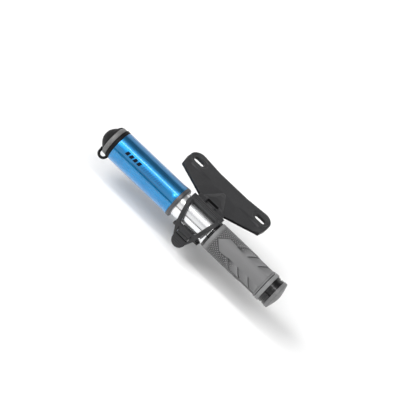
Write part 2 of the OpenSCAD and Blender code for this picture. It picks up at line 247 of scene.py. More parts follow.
def base_material(name, metallic=0.0):
    """A new material, with its node tree and its shader."""
    made = bpy.data.materials.new(name)
    made.use_nodes = True
    tree = made.node_tree
    shader = tree.nodes["Principled BSDF"]
    shader.inputs["Metallic"].default_value = metallic
    return made, tree, shader


def turned_lines(tree, pitch, amount):
    """Fine rings round the pump, as a lathe leaves them."""
    rings = noise_value(tree, 1 / (pitch * MM), 2.0, stretch=(1, 0.02, 0.02))
    return bump(tree, rings, amount, 0.6)


# ---------------------------------------------------------------- materials

def blue_anodised():
    """Bright blue under a clear coat, with a generic print: slanted bars of three strengths."""
    made, tree, shader = base_material("blue_anodised")
    shader.inputs["Coat Roughness"].default_value = 0.03
    shader.inputs["Coat IOR"].default_value = 1.62
    station, angle = pump_coordinates(tree)
    print_angle = 42.0
    from_line = calc(tree, "SUBTRACT", angle, print_angle)
    rise = calc(tree, "MULTIPLY", from_line, math.radians(1) * RING_R)
    slant = -0.35
    lean = calc(tree, "ADD", station, calc(tree, "MULTIPLY", rise, slant))

    def bars(start, end, pitch, share, low, high):
        """1 on slanted bars from start to end along the pump, between the heights low and high.
        Each bar fills a share of its pitch."""
        steps = calc(tree, "DIVIDE", calc(tree, "SUBTRACT", lean, start), pitch)
        drawn = calc(tree, "LESS_THAN", calc(tree, "FRACT", steps), share)
        along = inside(tree, lean, start, end)
        tall = inside(tree, rise, low, high)
        return calc(tree, "MULTIPLY", drawn, calc(tree, "MULTIPLY", along, tall))

    bold = bars(23.6, 38.9, 3.9, 0.70, -1.5, 1.5)
    faint = bars(40.2, 60.2, 2.0, 0.55, -1.5, 1.5)
    small = bars(33.0, 60.0, 1.3, 0.65, -3.6, -2.8)
    tint = spread(tree, noise_value(tree, 90, 2.0), 0.0, 1.0)
    blue = mix_color(tree, tint, rgb(0.002, 0.205, 0.49), rgb(0.006, 0.24, 0.55))
    printed = mix_color(tree, calc(tree, "MULTIPLY", faint, 0.55), blue, rgb(0.012, 0.10, 0.30))
    printed = mix_color(tree, calc(tree, "MULTIPLY", small, 0.6), printed, rgb(0.01, 0.07, 0.2))
    printed = mix_color(tree, bold, printed, rgb(0.003, 0.006, 0.014))
    tree.links.new(printed, shader.inputs["Base Color"])
    fine = spread(tree, noise_value(tree, 2500, 3.0, stretch=(0.03, 1, 1)), 0.26, 0.32)
    rough = calc(tree, "ADD", fine, calc(tree, "MULTIPLY", bold, 0.3))
    tree.links.new(rough, shader.inputs["Roughness"])
    tree.links.new(calc(tree, "SUBTRACT", 1.0, bold), shader.inputs["Metallic"])
    # the bold bars are matt ink, with little of the coat over them
    bare = calc(tree, "SUBTRACT", 1.0, calc(tree, "MULTIPLY", bold, 0.9))
    tree.links.new(bare, shader.inputs["Coat Weight"])
    tree.links.new(calc(tree, "MULTIPLY", bare, 0.5), shader.inputs["Specular IOR Level"])
    tree.links.new(turned_lines(tree, 0.35, 0.0002), shader.inputs["Normal"])
    return made


def polished_metal():
    """Polished aluminium with a faint grain along the barrel."""
    made, tree, shader = base_material("polished_barrel", metallic=0.82)
    fine = spread(tree, noise_value(tree, 2600, 3.0, stretch=(0.02, 1, 1)), 0.11, 0.19)
    tree.links.new(fine, shader.inputs["Roughness"])
    tint = spread(tree, noise_value(tree, 60, 2.0), 0.0, 1.0)
    color = mix_color(tree, tint, rgb(0.82, 0.83, 0.85), rgb(0.90, 0.90, 0.90))
    tree.links.new(color, shader.inputs["Base Color"])
    tree.links.new(turned_lines(tree, 0.3, 0.0002), shader.inputs["Normal"])
    return made


def machined_metal(name, color, roughness):
    """Turned metal, with rings that can be seen."""
    made, tree, shader = base_material(name, metallic=1.0)
    shader.inputs["Base Color"].default_value = color
    fine = spread(tree, noise_value(tree, 1500, 3.0), roughness - 0.06, roughness + 0.08)
    tree.links.new(fine, shader.inputs["Roughness"])
    tree.links.new(turned_lines(tree, 0.25, 0.004), shader.inputs["Normal"])
    return made


def satin(name, color, roughness, grain=0.02, metallic=0.0, wear=0.25, wall_shade=0.0):
    """Moulded or anodised satin surface: fine grain, cloudy sheen and worn edges."""
    made, tree, shader = base_material(name, metallic)
    cloud = spread(tree, noise_value(tree, 140, 4.0), 0.0, 1.0)
    body = mix_color(tree, cloud, shade(color, 0.82), shade(color, 1.12))
    scuffs = spread(tree, noise_value(tree, 700, 5.0, rough=0.7), 0.2, 1.0)
    edges = calc(tree, "MULTIPLY", edge_mask(tree, 0.35), scuffs)
    if wall_shade:
        # painted shade: the side walls, which face down and away from the light, are coloured
        # darker than the top
        normal = add(tree, "ShaderNodeTexCoord").outputs["Normal"]
        rise = add(tree, "ShaderNodeSeparateXYZ", {0: normal}).outputs[2]
        painted_wall_shade = add(tree, "ShaderNodeMapRange", {0: rise, 1: 0.55, 2: 0.25}).outputs[0]
        body = mix_color(tree, painted_wall_shade, body, shade(color, 1 - wall_shade))
    worn = calc(tree, "MULTIPLY", edges, wear)
    body = mix_color(tree, worn, body, shade(color, 1.9, 0.02))
    tree.links.new(body, shader.inputs["Base Color"])
    sheen = spread(tree, noise_value(tree, 420, 3.0), roughness - 0.05, roughness + 0.07)
    tree.links.new(sheen, shader.inputs["Roughness"])
    leather = noise_value(tree, 3200, 4.0, rough=0.6)
    tree.links.new(bump(tree, leather, grain, 0.7), shader.inputs["Normal"])
    return made


def rubber(name, color, roughness=0.52, grain=0.015, dust=0.15, relief_light_range=None, gloss=0.42):
    """Rubber: matt, with a fine skin and a little dust in it. With a relief range, painted shade
    darkens the moulded pattern's low places and a painted highlight lightens its raised tops."""
    made, tree, shader = base_material(name)
    shader.inputs["Specular IOR Level"].default_value = gloss
    cloud = spread(tree, noise_value(tree, 110, 4.0), 0.0, 1.0)
    body = mix_color(tree, cloud, shade(color, 0.85), shade(color, 1.12))
    specks = spread(tree, noise_value(tree, 1900, 6.0, rough=0.75), 0.0, 1.0)
    if relief_light_range:
        # painted shade in the pattern's low places and a painted highlight on its raised tops, from
        # the relief level
        level = add(tree, "ShaderNodeAttribute", attribute_name="relief").outputs["Fac"]
        painted_relief_light = add(tree, "ShaderNodeMapRange", {
            0: level, 1: relief_light_range[0], 2: relief_light_range[1]}).outputs[0]
        relief_light_and_shade = mix_color(tree, painted_relief_light, shade(color, 0.25), shade(color, 1.9))
        body = mix_color(tree, 0.15, relief_light_and_shade, body)
    # dust lies in specks everywhere, and thicker along the edges
    coverage = calc(tree, "ADD", dust * 0.5, calc(tree, "MULTIPLY", edge_mask(tree, 0.5), dust))
    amount = calc(tree, "MULTIPLY", specks, coverage)
    body = mix_color(tree, clamp01(tree, amount), body, shade(color, 0.6, 0.12))
    tree.links.new(body, shader.inputs["Base Color"])
    sheen = spread(tree, noise_value(tree, 300, 3.0), roughness - 0.07, roughness + 0.08)
    tree.links.new(sheen, shader.inputs["Roughness"])
    skin = noise_value(tree, 2600, 5.0, rough=0.65)
    tree.links.new(bump(tree, skin, grain, 0.8), shader.inputs["Normal"])
    return made


def gloss_black():
    """Gloss black with faint polishing swirls."""
    made, tree, shader = base_material("gloss_black")
    shader.inputs["Specular IOR Level"].default_value = 0.45
    shader.inputs["Coat Weight"].default_value = 0.15
    shader.inputs["Coat Roughness"].default_value = 0.05
    swirl = spread(tree, noise_value(tree, 1800, 4.0, stretch=(0.1, 1, 1)), 0.06, 0.17)
    tree.links.new(swirl, shader.inputs["Roughness"])
    tint = spread(tree, noise_value(tree, 200, 3.0), 0.0, 1.0)
    color = mix_color(tree, tint, rgb(0.003, 0.003, 0.003), rgb(0.007, 0.007, 0.008))
    tree.links.new(color, shader.inputs["Base Color"])
    tree.links.new(turned_lines(tree, 0.5, 0.001), shader.inputs["Normal"])
    return made


def braided_hose():
    """Black hose with a fine helical braid under its skin."""
    made, tree, shader = base_material("braided_hose")
    shader.inputs["Roughness"].default_value = 0.4
    station, angle = pump_coordinates(tree)
    turn = calc(tree, "DIVIDE", angle, 30.0)
    pitch = calc(tree, "DIVIDE", station, 1.3)

    def strands(way):
        """Waves that wind round the hose one way or the other."""
        return calc(tree, "SINE", calc(tree, "MULTIPLY", calc(tree, way, pitch, turn), math.pi))

    weave = calc(tree, "MULTIPLY", strands("ADD"), strands("SUBTRACT"))
    tree.links.new(bump(tree, weave, 0.06, 0.8), shader.inputs["Normal"])
    tone = clamp01(tree, calc(tree, "ADD", calc(tree, "MULTIPLY", weave, 0.4), 0.4))
    color = mix_color(tree, tone, rgb(0.012, 0.012, 0.013), rgb(0.04, 0.04, 0.043))
    tree.links.new(color, shader.inputs["Base Color"])
    return made


MATERIALS = {
    "moulded_plastic": satin(
        "moulded_plastic", rgb(0.018, 0.018, 0.0195), 0.44, 0.03, wear=0.3, wall_shade=0.75),
    "strap_rubber": rubber("strap_rubber", rgb(0.016, 0.016, 0.0175), 0.5, gloss=0.36),
    "cap_rubber": rubber("cap_rubber", rgb(0.004, 0.004, 0.0045), 0.5, dust=0.04, gloss=0.14),
    "polished_barrel": polished_metal(),
    "gloss_black": gloss_black(),
    "grip_rubber": rubber("grip_rubber", rgb(0.134, 0.134, 0.136), 0.42, 0.02, 0.1, (-0.62, 0.45)),
    "grip_rings": satin("grip_rings", rgb(0.205, 0.205, 0.207), 0.45, 0.012, wear=0.3),
    "end_cap_grey": satin("end_cap_grey", rgb(0.155, 0.155, 0.157), 0.42, 0.012, wear=0.3),
    "blue_anodised": blue_anodised(),
    "dark_anodised": satin("dark_anodised", rgb(0.10, 0.10, 0.104), 0.34, 0.006, 0.6, 0.4),
    "light_band": satin("light_band", rgb(0.15, 0.15, 0.148), 0.42, 0.012, wear=0.35),
    "machined_aluminium": machined_metal("machined_aluminium", rgb(0.72, 0.72, 0.73), 0.28),
    "bearing_plastic": satin("bearing_plastic", rgb(0.72, 0.71, 0.64), 0.42, 0.01, wear=0.05),
    "housing_plastic": satin("housing_plastic", rgb(0.045, 0.045, 0.048), 0.4, 0.015),
    "seal_rubber": rubber("seal_rubber", rgb(0.02, 0.02, 0.021), 0.4, 0.006, 0.05),
    "valve_rubber": rubber("valve_rubber", rgb(0.35, 0.04, 0.03), 0.42, 0.006, 0.05),
    "hose_rubber": braided_hose(),
    "brass_fitting": machined_metal("brass_fitting", rgb(0.72, 0.52, 0.22), 0.26),
}


def paint(piece, slot):
    """Gives a piece the material of a record slot."""
    piece.data.materials.clear()
    piece.data.materials.append(MATERIALS[slot])


# ---------------------------------------------------------------- mesh helpers

def new_piece(name, vertices, faces, smooth_angle=32.0):
    """A new object; edges that bend by more than the angle in degrees stay sharp."""
    mesh = bpy.data.meshes.new(name)
    mesh.from_pydata([tuple(v) for v in vertices], [], faces)
    mesh.validate()
    bm = bmesh.new()
    bm.from_mesh(mesh)
    bmesh.ops.recalc_face_normals(bm, faces=bm.faces)
    bm.to_mesh(mesh)
    bm.free()
    mesh.shade_smooth()
    mesh.set_sharp_from_angle(angle=math.radians(smooth_angle))
    made = bpy.data.objects.new(name, mesh)
    bpy.context.scene.collection.objects.link(made)
    return made


def settle(piece, body, slot, node=None):
    """Puts a piece on its body, paints it, and hides the CAD node that it stands for."""
    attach(piece, body)
    paint(piece, slot)
    if node:
        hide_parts(node)


def numbered(rows, columns, start=0):
    """Vertex numbers of a grid of points, row by row."""
    return [list(range(start + i * columns, start + (i + 1) * columns)) for i in range(rows)]


def quads(rows, around=False, closed=False):
    """Faces between rows of vertex numbers. With around, each row joins end to end. With closed,
    the last row joins the first. A vertex that repeats, at a pole, is used once in a face."""
    faces = []
    pairs = list(zip(rows, rows[1:]))
    if closed:
        pairs.append((rows[-1], rows[0]))
    for row_a, row_b in pairs:
        count = len(row_a)
        for k in range(count if around else count - 1):
            n = (k + 1) % count
            corners = [row_a[k], row_a[n], row_b[n], row_b[k]]
            face = [v for i, v in enumerate(corners) if v != corners[i - 1]]
            if len(face) > 2:
                faces.append(face)
    return faces


def soften(points, size, closed):
    """Rounds the corners of an outline of (station, radius) points."""
    out = []
    count = len(points)
    for i, corner in enumerate(points):
        if not closed and i in (0, count - 1):
            out.append(corner)
            continue
        here = np.array(corner, float)
        to_a = np.array(points[i - 1], float) - here
        to_b = np.array(points[(i + 1) % count], float) - here
        length_a = np.linalg.norm(to_a)
        length_b = np.linalg.norm(to_b)
        straight = np.dot(to_a, to_b) / (length_a * length_b) < -0.97
        if straight:
            out.append(corner)
            continue
        cut = min(size, 0.42 * length_a, 0.42 * length_b)
        start = here + to_a / length_a * cut
        end = here + to_b / length_b * cut
        for t in (0.0, 0.25, 0.5, 0.75, 1.0):
            point = (1 - t) ** 2 * start + 2 * t * (1 - t) * here + t * t * end
            out.append((float(point[0]), float(point[1])))
    return out


def lathe(name, outline, body, slot, node, soft=0.2, segments=180):
    """Turns an outline of (station, radius) round the pump. An outline that starts and ends on
    the axis makes a solid, and any other outline is closed into a ring."""
    closed = outline[0][1] > 1e-6
    vertices = []
    rows = []
    for s, r in soften(outline, soft, closed):
        if r < 1e-6:
            rows.append([len(vertices)] * segments)
            vertices.append(place(s, 0, 0))
        else:
            rows.append(list(range(len(vertices), len(vertices) + segments)))
            vertices.extend(place(s, r, 360 * k / segments) for k in range(segments))
    made = new_piece(name, vertices, quads(rows, around=True, closed=closed))
    settle(made, body, slot, node)


def node_copy(name, *nodes):
    """A free copy of CAD nodes' meshes, joined into one mesh."""
    bm = bmesh.new()
    for node in nodes:
        bm.from_mesh(frame["nodes"][node].data)
    mesh = bpy.data.meshes.new(name)
    bm.to_mesh(mesh)
    bm.free()
    made = bpy.data.objects.new(name, mesh)
    bpy.context.scene.collection.objects.link(made)
    return made


def apply_modifiers(piece):
    """Replaces a piece's mesh by the one that its modifiers give."""
    bpy.context.view_layer.update()
    graph = bpy.context.evaluated_depsgraph_get()
    mesh = bpy.data.meshes.new_from_object(piece.evaluated_get(graph))
    piece.modifiers.clear()
    old = piece.data
    piece.data = mesh
    bpy.data.meshes.remove(old)


def mould(piece, voxel, smoothing):
    """Fuses overlapping solids into one skin with soft moulded corners."""
    remesh = piece.modifiers.new("fuse", "REMESH")
    remesh.mode = "VOXEL"
    remesh.voxel_size = voxel * MM
    smooth = piece.modifiers.new("smooth", "CORRECTIVE_SMOOTH")
    smooth.iterations = smoothing
    smooth.smooth_type = "LENGTH_WEIGHTED"
    smooth.use_only_smooth = True
    apply_modifiers(piece)
    piece.data.shade_smooth()


# ---------------------------------------------------------------- turned pieces

def barrel():
    """Thin polished tube with a flared shoulder, and a seat for the guide ring at its open end."""
    start = first("barrel_tube")
    end = last("barrel_tube")
    bore = BARREL_R - BARREL_WALL
    seat_r = BARREL_R - GUIDE_SEAT_DEPTH
    seat = last("barrel_guide_ring") + FIT
    lathe("barrel", [
        (start, bore), (start, seat_r), (seat, seat_r), (seat, BARREL_R),
        (SHOULDER - 4.2, BARREL_R), (SHOULDER - 3.4, BARREL_R + 0.08),
        (SHOULDER - 2.5, BARREL_R + 0.28), (SHOULDER - 1.5, BARREL_R + 0.62),
        (SHOULDER - 0.6, SHOULDER_R),
        (SHOULDER - 0.08, SHOULDER_R), (SHOULDER - 0.05, BARREL_R), (end, BARREL_R), (end, bore),
    ], "barrel", "polished_barrel", "barrel_tube", soft=0.14)


def grip_core():
    """Gloss tube under the grip: a band in front of it and a grooved band behind it."""
    end = last("handle_core")
    under = CORE_UNDER_GRIP_R
    bore = BARREL_R + FIT
    front = SHOULDER + 2.25
    rear = last("grip_rear_ring") + 0.05
    groove = rear + 2.3
    groove_r = under - 0.05
    lathe("gloss_bands", [
        (SHOULDER, bore), (SHOULDER, SHOULDER_R), (front, SHOULDER_R),
        (front, under), (rear, under), (rear, SHOULDER_R), (groove, SHOULDER_R),
        (groove + 0.12, groove_r), (groove + 0.98, groove_r), (groove + 1.1, SHOULDER_R),
        (end, SHOULDER_R), (end, bore),
    ], "barrel", "gloss_black", "handle_core", soft=0.16)


def grip_rings():
    """Rings that clamp the grip's ends, each with a fine groove near its outer edge."""
    for node, side in (("grip_front_ring", 1), ("grip_rear_ring", -1)):
        a = first(node)
        b = last(node)
        r = radius(node)
        bore = CORE_UNDER_GRIP_R + FIT
        line = b - 0.55 if side > 0 else a + 0.55
        lathe(node.replace("grip", "clamp"), [
            (a, bore), (a, r), (line - 0.14, r), (line, r - 0.14), (line + 0.14, r),
            (b, r), (b, bore),
        ], "barrel", "grip_rings", node, soft=0.28)


def end_cap():
    """Cap on the handle's end: a plug in the core, a short rim and a shallow dome."""
    a = first("end_cap")
    face = last("handle_core") + FIT
    tip = last("end_cap")
    r = radius("end_cap")
    plug_r = 3.0
    rim = face + 2.95
    dome_base = r - 0.75
    rise = tip - 0.5 - rim
    dome = [(rim + rise * (1 - (k / 10) ** 1.6), dome_base * k / 10) for k in range(9, -1, -1)]
    lathe("grip_end_cap", [
        (a, 0), (a, plug_r), (face, plug_r), (face, r - 0.1), (face + 0.3, r), (rim - 0.5, r),
        (rim, r - 0.5), (rim + 0.08, dome_base), *dome,
    ], "barrel", "end_cap_grey", "end_cap", soft=0.24)


def bumper():
    """Rubber disc inside the barrel's end, with a dished face that the piston lands on."""
    a = first("bumper")
    b = last("bumper")
    r = radius("bumper")
    lathe("piston_bumper", [
        (a + 0.3, 0), (a, r - 1.5), (a + 0.6, r), (b, r), (b, 0),
    ], "barrel", "seal_rubber", "bumper", soft=0.18)


def sleeve():
    """Blue tube that slides on the barrel and widens towards its collar."""
    a = first("sleeve_tube")
    b = last("sleeve_tube")
    r = RING_R
    lathe("sleeve", [
        (a, SLEEVE_BORE), (a, r - 0.22), (a + 0.3, r), (b - 6.0, r), (b - 4.9, r - 0.02),
        (b - 3.9, r + 0.02), (b - 2.9, r + 0.12), (b - 1.9, r + 0.25), (b - 1.1, COLLAR_R),
        (b, COLLAR_R), (b, SLEEVE_BORE),
    ], "sleeve", "blue_anodised", "sleeve_tube", soft=0.16)


def sleeve_collar():
    """Dark collar on the sleeve's open end, with an inner groove for the wiper."""
    a = first("sleeve_collar")
    seam = last("sleeve_tube") + FIT
    b = last("sleeve_collar")
    bore = BARREL_R + RUN
    groove = seam + 0.75
    groove_end = groove + 1.4
    groove_r = 11.2
    lathe("sleeve_end_collar", [
        (a, bore), (a, SLEEVE_BORE - FIT), (seam, SLEEVE_BORE - FIT), (seam, COLLAR_R - 0.05),
        (b - 0.55, COLLAR_R - 0.02), (b, COLLAR_R - 0.6), (b, bore), (groove_end, bore),
        (groove_end, groove_r), (groove, groove_r), (groove, bore),
    ], "sleeve", "dark_anodised", "sleeve_collar", soft=0.2)


def head_collar():
    """Light band behind the dust cap, with a fine groove near its rear edge."""
    a = first("head_collar")
    b = last("head_collar")
    r = radius("head_collar")
    groove_r = r - 0.16
    front_bore = 9.6
    bore = 10.4
    step = a + 1.05
    lathe("head_band", [
        (a, front_bore), (a, r - 0.5), (a + 0.5, r), (b - 0.75, r), (b - 0.62, groove_r),
        (b - 0.42, groove_r), (b - 0.3, r), (b, r - 0.15), (b, bore), (step, bore),
        (step, front_bore),
    ], "sleeve", "light_band", "head_collar", soft=0.22)


def press_stud():
    """Small press stud on the side of the light band."""
    r = radius("head_collar")
    middle = (first("head_collar") + last("head_collar")) / 2 - 0.1
    middle_angle = 26.0
    top = 0.34
    steps = 28
    # distance from the stud's middle, height over the band
    outline = [(0.22, 0.26), (0.42, 0.3), (0.66, 0.3), (0.86, 0.2), (0.95, -0.25)]
    vertices = [place(middle, r + top, middle_angle)]
    for away, height in outline:
        for k in range(steps):
            turn = math.tau * k / steps
            angle = middle_angle + math.degrees(away * math.sin(turn) / r)
            vertices.append(place(middle + away * math.cos(turn), r + height, angle))
    rows = [[0] * steps] + numbered(len(outline), steps, start=1)
    faces = quads(rows, around=True)
    faces.append(rows[-1])
    made = new_piece("head_band_stud", vertices, faces, 50)
    settle(made, "sleeve", "light_band")


def ring():
    """Rubber ring round the sleeve, with a fine groove, that holds the leash."""
    a = first("cap_ring")
    b = last("cap_ring")
    lathe("leash_ring", [
        (a, SLEEVE_BORE), (a, RING_R - 0.3), (a + 0.35, RING_R), (a + 1.2, RING_R),
        (a + 1.45, RING_R - 0.22), (a + 1.7, RING_R), (b - 0.35, RING_R), (b, RING_R - 0.3),
        (b, SLEEVE_BORE),
    ], "sleeve", "cap_rubber", "cap_ring", soft=0.24)


def cap_length():
    """Length of the dust cap outside the band."""
    return first("head_collar") - 0.15


def dome_r(rim, length, station):
    """Radius of a dome that is as long and as wide at its rim as given."""
    return rim * (max(station, 0) / length) ** 0.42


def dust_cap():
    """Soft dome with a rim bead, and a skirt inside the band."""
    rim_r = radius("dust_cap")
    length = cap_length()
    skirt_end = last("dust_cap")
    skirt_r = 9.0
    skirt_bore = 8.2
    bead = length - 1.9
    bead_height = 0.16
    outer = [(0, 0)]
    for i in range(1, 34):
        s = length * (i / 33) ** 1.9
        # the dome lies a little lower than its bead, and meets the axis at its tip
        step = bead_height
        if s > 0.6 * bead:
            step = bead_height * min(1.0, max(0.0, (bead - s) / 0.25))
        outer.append((s, dome_r(rim_r, length, s) - step * min(1.0, s / 1.2)))
    inner = []
    for i in range(24, -1, -1):
        s = (length - CAP_WALL) * (i / 24) ** 1.9
        inner.append((CAP_WALL + s, dome_r(rim_r - CAP_WALL - 1, length - CAP_WALL, s)))
    rim = [(length, rim_r - 0.15), (length, skirt_r), (skirt_end, skirt_r), (skirt_end, skirt_bore)]
    lathe("dust_cap_dome", outer + rim + inner, "cap", "cap_rubber", "dust_cap", soft=0.12)


def dust_cap_tab():
    """Small pull tab on the dust cap's rim."""
    rim_r = radius("dust_cap")
    length = cap_length()
    middle = 131.0
    half = 9.5
    columns = 13
    # station, height over the dome; the last two rows are the tab's underside in the dome's wall
    outline = [
        (length - 3.0, -0.4), (length - 2.3, 0.75), (length - 1.2, 1.25), (length - 0.15, 1.1),
        (length - 0.1, -0.8), (length - 0.1, -0.85), (length - 3.0, -0.85),
    ]
    vertices = []
    for s, top in outline:
        for k in range(columns):
            t = k / 6 - 1
            lift = top * math.sqrt(max(0.0, 1 - t ** 4)) if top > 0 else top
            vertices.append(place(s, dome_r(rim_r, length, s) + lift - 0.05, middle + half * t))
    rows = numbered(len(outline), columns)
    faces = quads(rows, closed=True)
    faces.append([row[0] for row in rows])
    faces.append([row[-1] for row in rows])
    made = new_piece("dust_cap_tab", vertices, faces, 60)
    settle(made, "cap", "cap_rubber")


def cord(path, angle):
    """Vertices and faces of a cord along a path of (station, radius, half thickness)."""
    steps = 24
    points = [place(s, r, angle) for s, r, _ in path]
    side = place(0, 1, angle + 90) - place(0, 0, angle)
    side.normalize()
    vertices = []
    for i, point in enumerate(points):
        ahead = points[min(i + 1, len(points) - 1)] - points[max(i - 1, 0)]
        ahead.normalize()
        normal = side.cross(ahead)
        half = path[i][2] * MM
        for k in range(steps):
            turn = math.tau * k / steps
            sideways = side * (half * 1.08 * math.cos(turn))
            vertices.append(point + sideways + normal * (half * math.sin(turn)))
    rows = numbered(len(points), steps)
    faces = quads(rows, around=True)
    faces.append(rows[0])
    faces.append(rows[-1])
    return vertices, faces


def leash():
    """Rubber cord that loops from the ring to the dust cap, thicker where it joins them."""
    middle = last("cap_leash") - LEASH_LOOP_R - LEASH_CORD_R
    by_ring = middle + LEASH_LOOP_R
    by_cap = middle - LEASH_LOOP_R
    path = [(by_ring, LEASH_OUT - 1.0, 1.45), (by_ring, LEASH_OUT - 0.4, 1.3)]
    for k in range(25):
        turn = math.radians(180 * k / 24)
        s = middle + LEASH_LOOP_R * math.cos(turn)
        path.append((s, LEASH_OUT + LEASH_LOOP_R * math.sin(turn), LEASH_CORD_R))
    path.append((by_cap - 0.05, LEASH_OUT - 0.9, 1.12))
    path.append((by_cap, LEASH_OUT - 1.9, 1.3))
    path.append((by_cap + 0.1, LEASH_OUT - 2.9, 1.6))
    vertices, faces = cord(path, LEASH_ANGLE)
    made = new_piece("leash_loop", vertices, faces, 60)
    paint(made, "cap_rubber")
    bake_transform(made)
    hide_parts("cap_leash")


# ---------------------------------------------------------------- head, hidden by the dust cap

def lock_knob():
    """Knob with flutes round the pump head."""
    a = first("lock_knob")
    b = last("lock_knob")
    r = radius("lock_knob")
    mouth_r = 4.0
    bore = 5.38
    outline = soften([
        (a, mouth_r), (a, r - 1.5), (a + 0.5, r - 0.75), (a + 1.6, r), (b - 0.4, r),
        (b, r - 0.35), (b, bore), (a + 0.7, bore), (a + 0.7, mouth_r)], 0.22, True)
    flutes = 12
    flute_depth = 0.55
    fluted_from = 5.9       # radius; the knob's bore stays round
    columns = flutes * 16
    vertices = []
    for s, round_r in outline:
        for k in range(columns):
            wave = max(0.0, math.cos(math.tau * k * flutes / columns)) ** 2
            cut = flute_depth * wave if round_r > fluted_from else 0.0
            vertices.append(place(s, round_r - cut, 360 * k / columns))
    faces = quads(numbered(len(outline), columns), around=True, closed=True)
    made = new_piece("head_lock_knob", vertices, faces, 40)
    settle(made, "lock_knob", "gloss_black", "lock_knob")


def pump_head():
    """Screw-on head: a socket for the valve in front, and one for the hose behind, with a spigot
    inside the hose."""
    a = first("pump_head")
    b = last("pump_head")
    r = radius("pump_head")
    knob_seat = 5.3
    valve_r = 4.35
    socket_r = 4.05
    spigot_r = HOSE_BORE_R - FIT
    duct_r = 0.9
    lathe("screw_on_head", [
        (a, valve_r), (a, knob_seat), (a + 5.1, knob_seat), (a + 5.1, r), (a + 6.3, r),
        (a + 6.5, r - 0.2), (a + 6.9, r - 0.2), (a + 7.1, r), (b - 1.0, r), (b, r - 0.8),
        (b, socket_r), (b - 4.2, socket_r), (b - 4.2, spigot_r), (b - 1.1, spigot_r),
        (b - 1.1, duct_r), (a + 3.6, duct_r), (a + 3.6, valve_r),
    ], "head", "machined_aluminium", "pump_head", soft=0.18, segments=120)


def hose():
    a = first("hose")
    b = last("hose")
    r = radius("hose")
    lathe("braided_hose", [(a, HOSE_BORE_R), (a, r), (b, r), (b, HOSE_BORE_R)],
          "head", "hose_rubber", "hose", soft=0.2, segments=96)


# ---------------------------------------------------------------- grip
# In these functions s is the distance from the grip's front end and d the distance along the
# surface from a panel's centre line.

PANELS = 2
PANEL_TURN = 45.0     # angle of the first panel's centre line
PANEL_APEX = 2.6      # where the panel's point starts
PANEL_HALF = 6.6
RELIEF = 0.6          # height of the panels and the dots over the ground
GRIP_ROWS = 220
GRIP_COLUMNS = 320


def smooth01(value, low, high):
    """A soft step from 0 at low to 1 at high."""
    t = np.clip((value - low) / (high - low), 0, 1)
    return t * t * (3 - 2 * t)


def arrow_panel(s, d):
    """1 on a raised panel: a point, straight sides, and the whole width at the rear."""
    half = np.minimum(s - PANEL_APEX, PANEL_HALF - 1.2 * smooth01(s, 11, 20))
    arrow = smooth01(half - d, -0.22, 0.22)
    rear = smooth01(s, 17, 27) * smooth01(12.8 - d, -1.2, 1.2)
    return np.maximum(arrow, rear)


def slanted_scales(s, d):
    """Scales on both sides of the panel: each rises to a lip, with a groove behind it."""
    pitch = 10.3
    slant = 0.78
    local = (s - 17.4) - (d - 5.9) * slant
    count = np.floor(local / pitch)
    phase = local / pitch - count
    along = (s > 9) & (count >= -1) & (count <= 3)
    near = smooth01(d, 5.0, 6.2) * (1 - smooth01(d, 12.2, 14.0))
    scale = (np.clip(phase, 0, 1) ** 2.0 - 0.35) * 0.42 * along
    lip = np.where(count < 3, np.exp(-((1 - phase) * pitch / 0.28) ** 2), 0.0)
    groove = np.exp(-(phase * pitch / 0.45) ** 2) * np.where(count > 0, 1.0, 0.5) * (count >= 0)
    return near * (scale - 0.7 * groove + 0.08 * lip) * smooth01(s, 8, 16)


def raised_dots(s, d):
    """1 on each dot of the field beside the panel's point."""
    pitch_s = 1.25
    pitch_d = 2.2
    row_number = np.round(s / pitch_s)
    shift = (row_number % 2) * 0.5
    column_number = np.round(d / pitch_d - shift) + shift
    dot_s = row_number * pitch_s
    dot_d = column_number * pitch_d
    dot = 1 - smooth01(np.sqrt((s - dot_s) ** 2 + (d - dot_d) ** 2), 0.3, 0.68)
    clear = smooth01(dot_d - np.clip(dot_s - PANEL_APEX, 0, PANEL_HALF), 0.5, 1.1)
    reach = 1 - smooth01(s, 18 + 0.7 * d, 22 + 0.8 * d)
    return dot * clear * reach * smooth01(s, 1.0, 1.5)


def plain_ends(height, s, rear):
    """Turns the relief into a plain collar at each end, with a fine groove and a round edge.
    Rear is the distance from the grip's rear end."""
    rear_line = np.exp(-((rear - 1.5) / 0.22) ** 2)
    front_line = np.exp(-((s - 0.9) / 0.2) ** 2)
    plain = np.maximum(smooth01(1.9 - rear, -0.3, 0.3), smooth01(1.2 - s, -0.2, 0.2))
    height = height * (1 - plain) - 0.32 * rear_line - 0.26 * front_line
    edge = 0.35
    inward = np.clip(np.minimum(s, rear) / edge, 0, 1)
    return height - 0.3 * (1 - np.sqrt(np.clip(1 - (1 - inward) ** 2, 0, 1)))


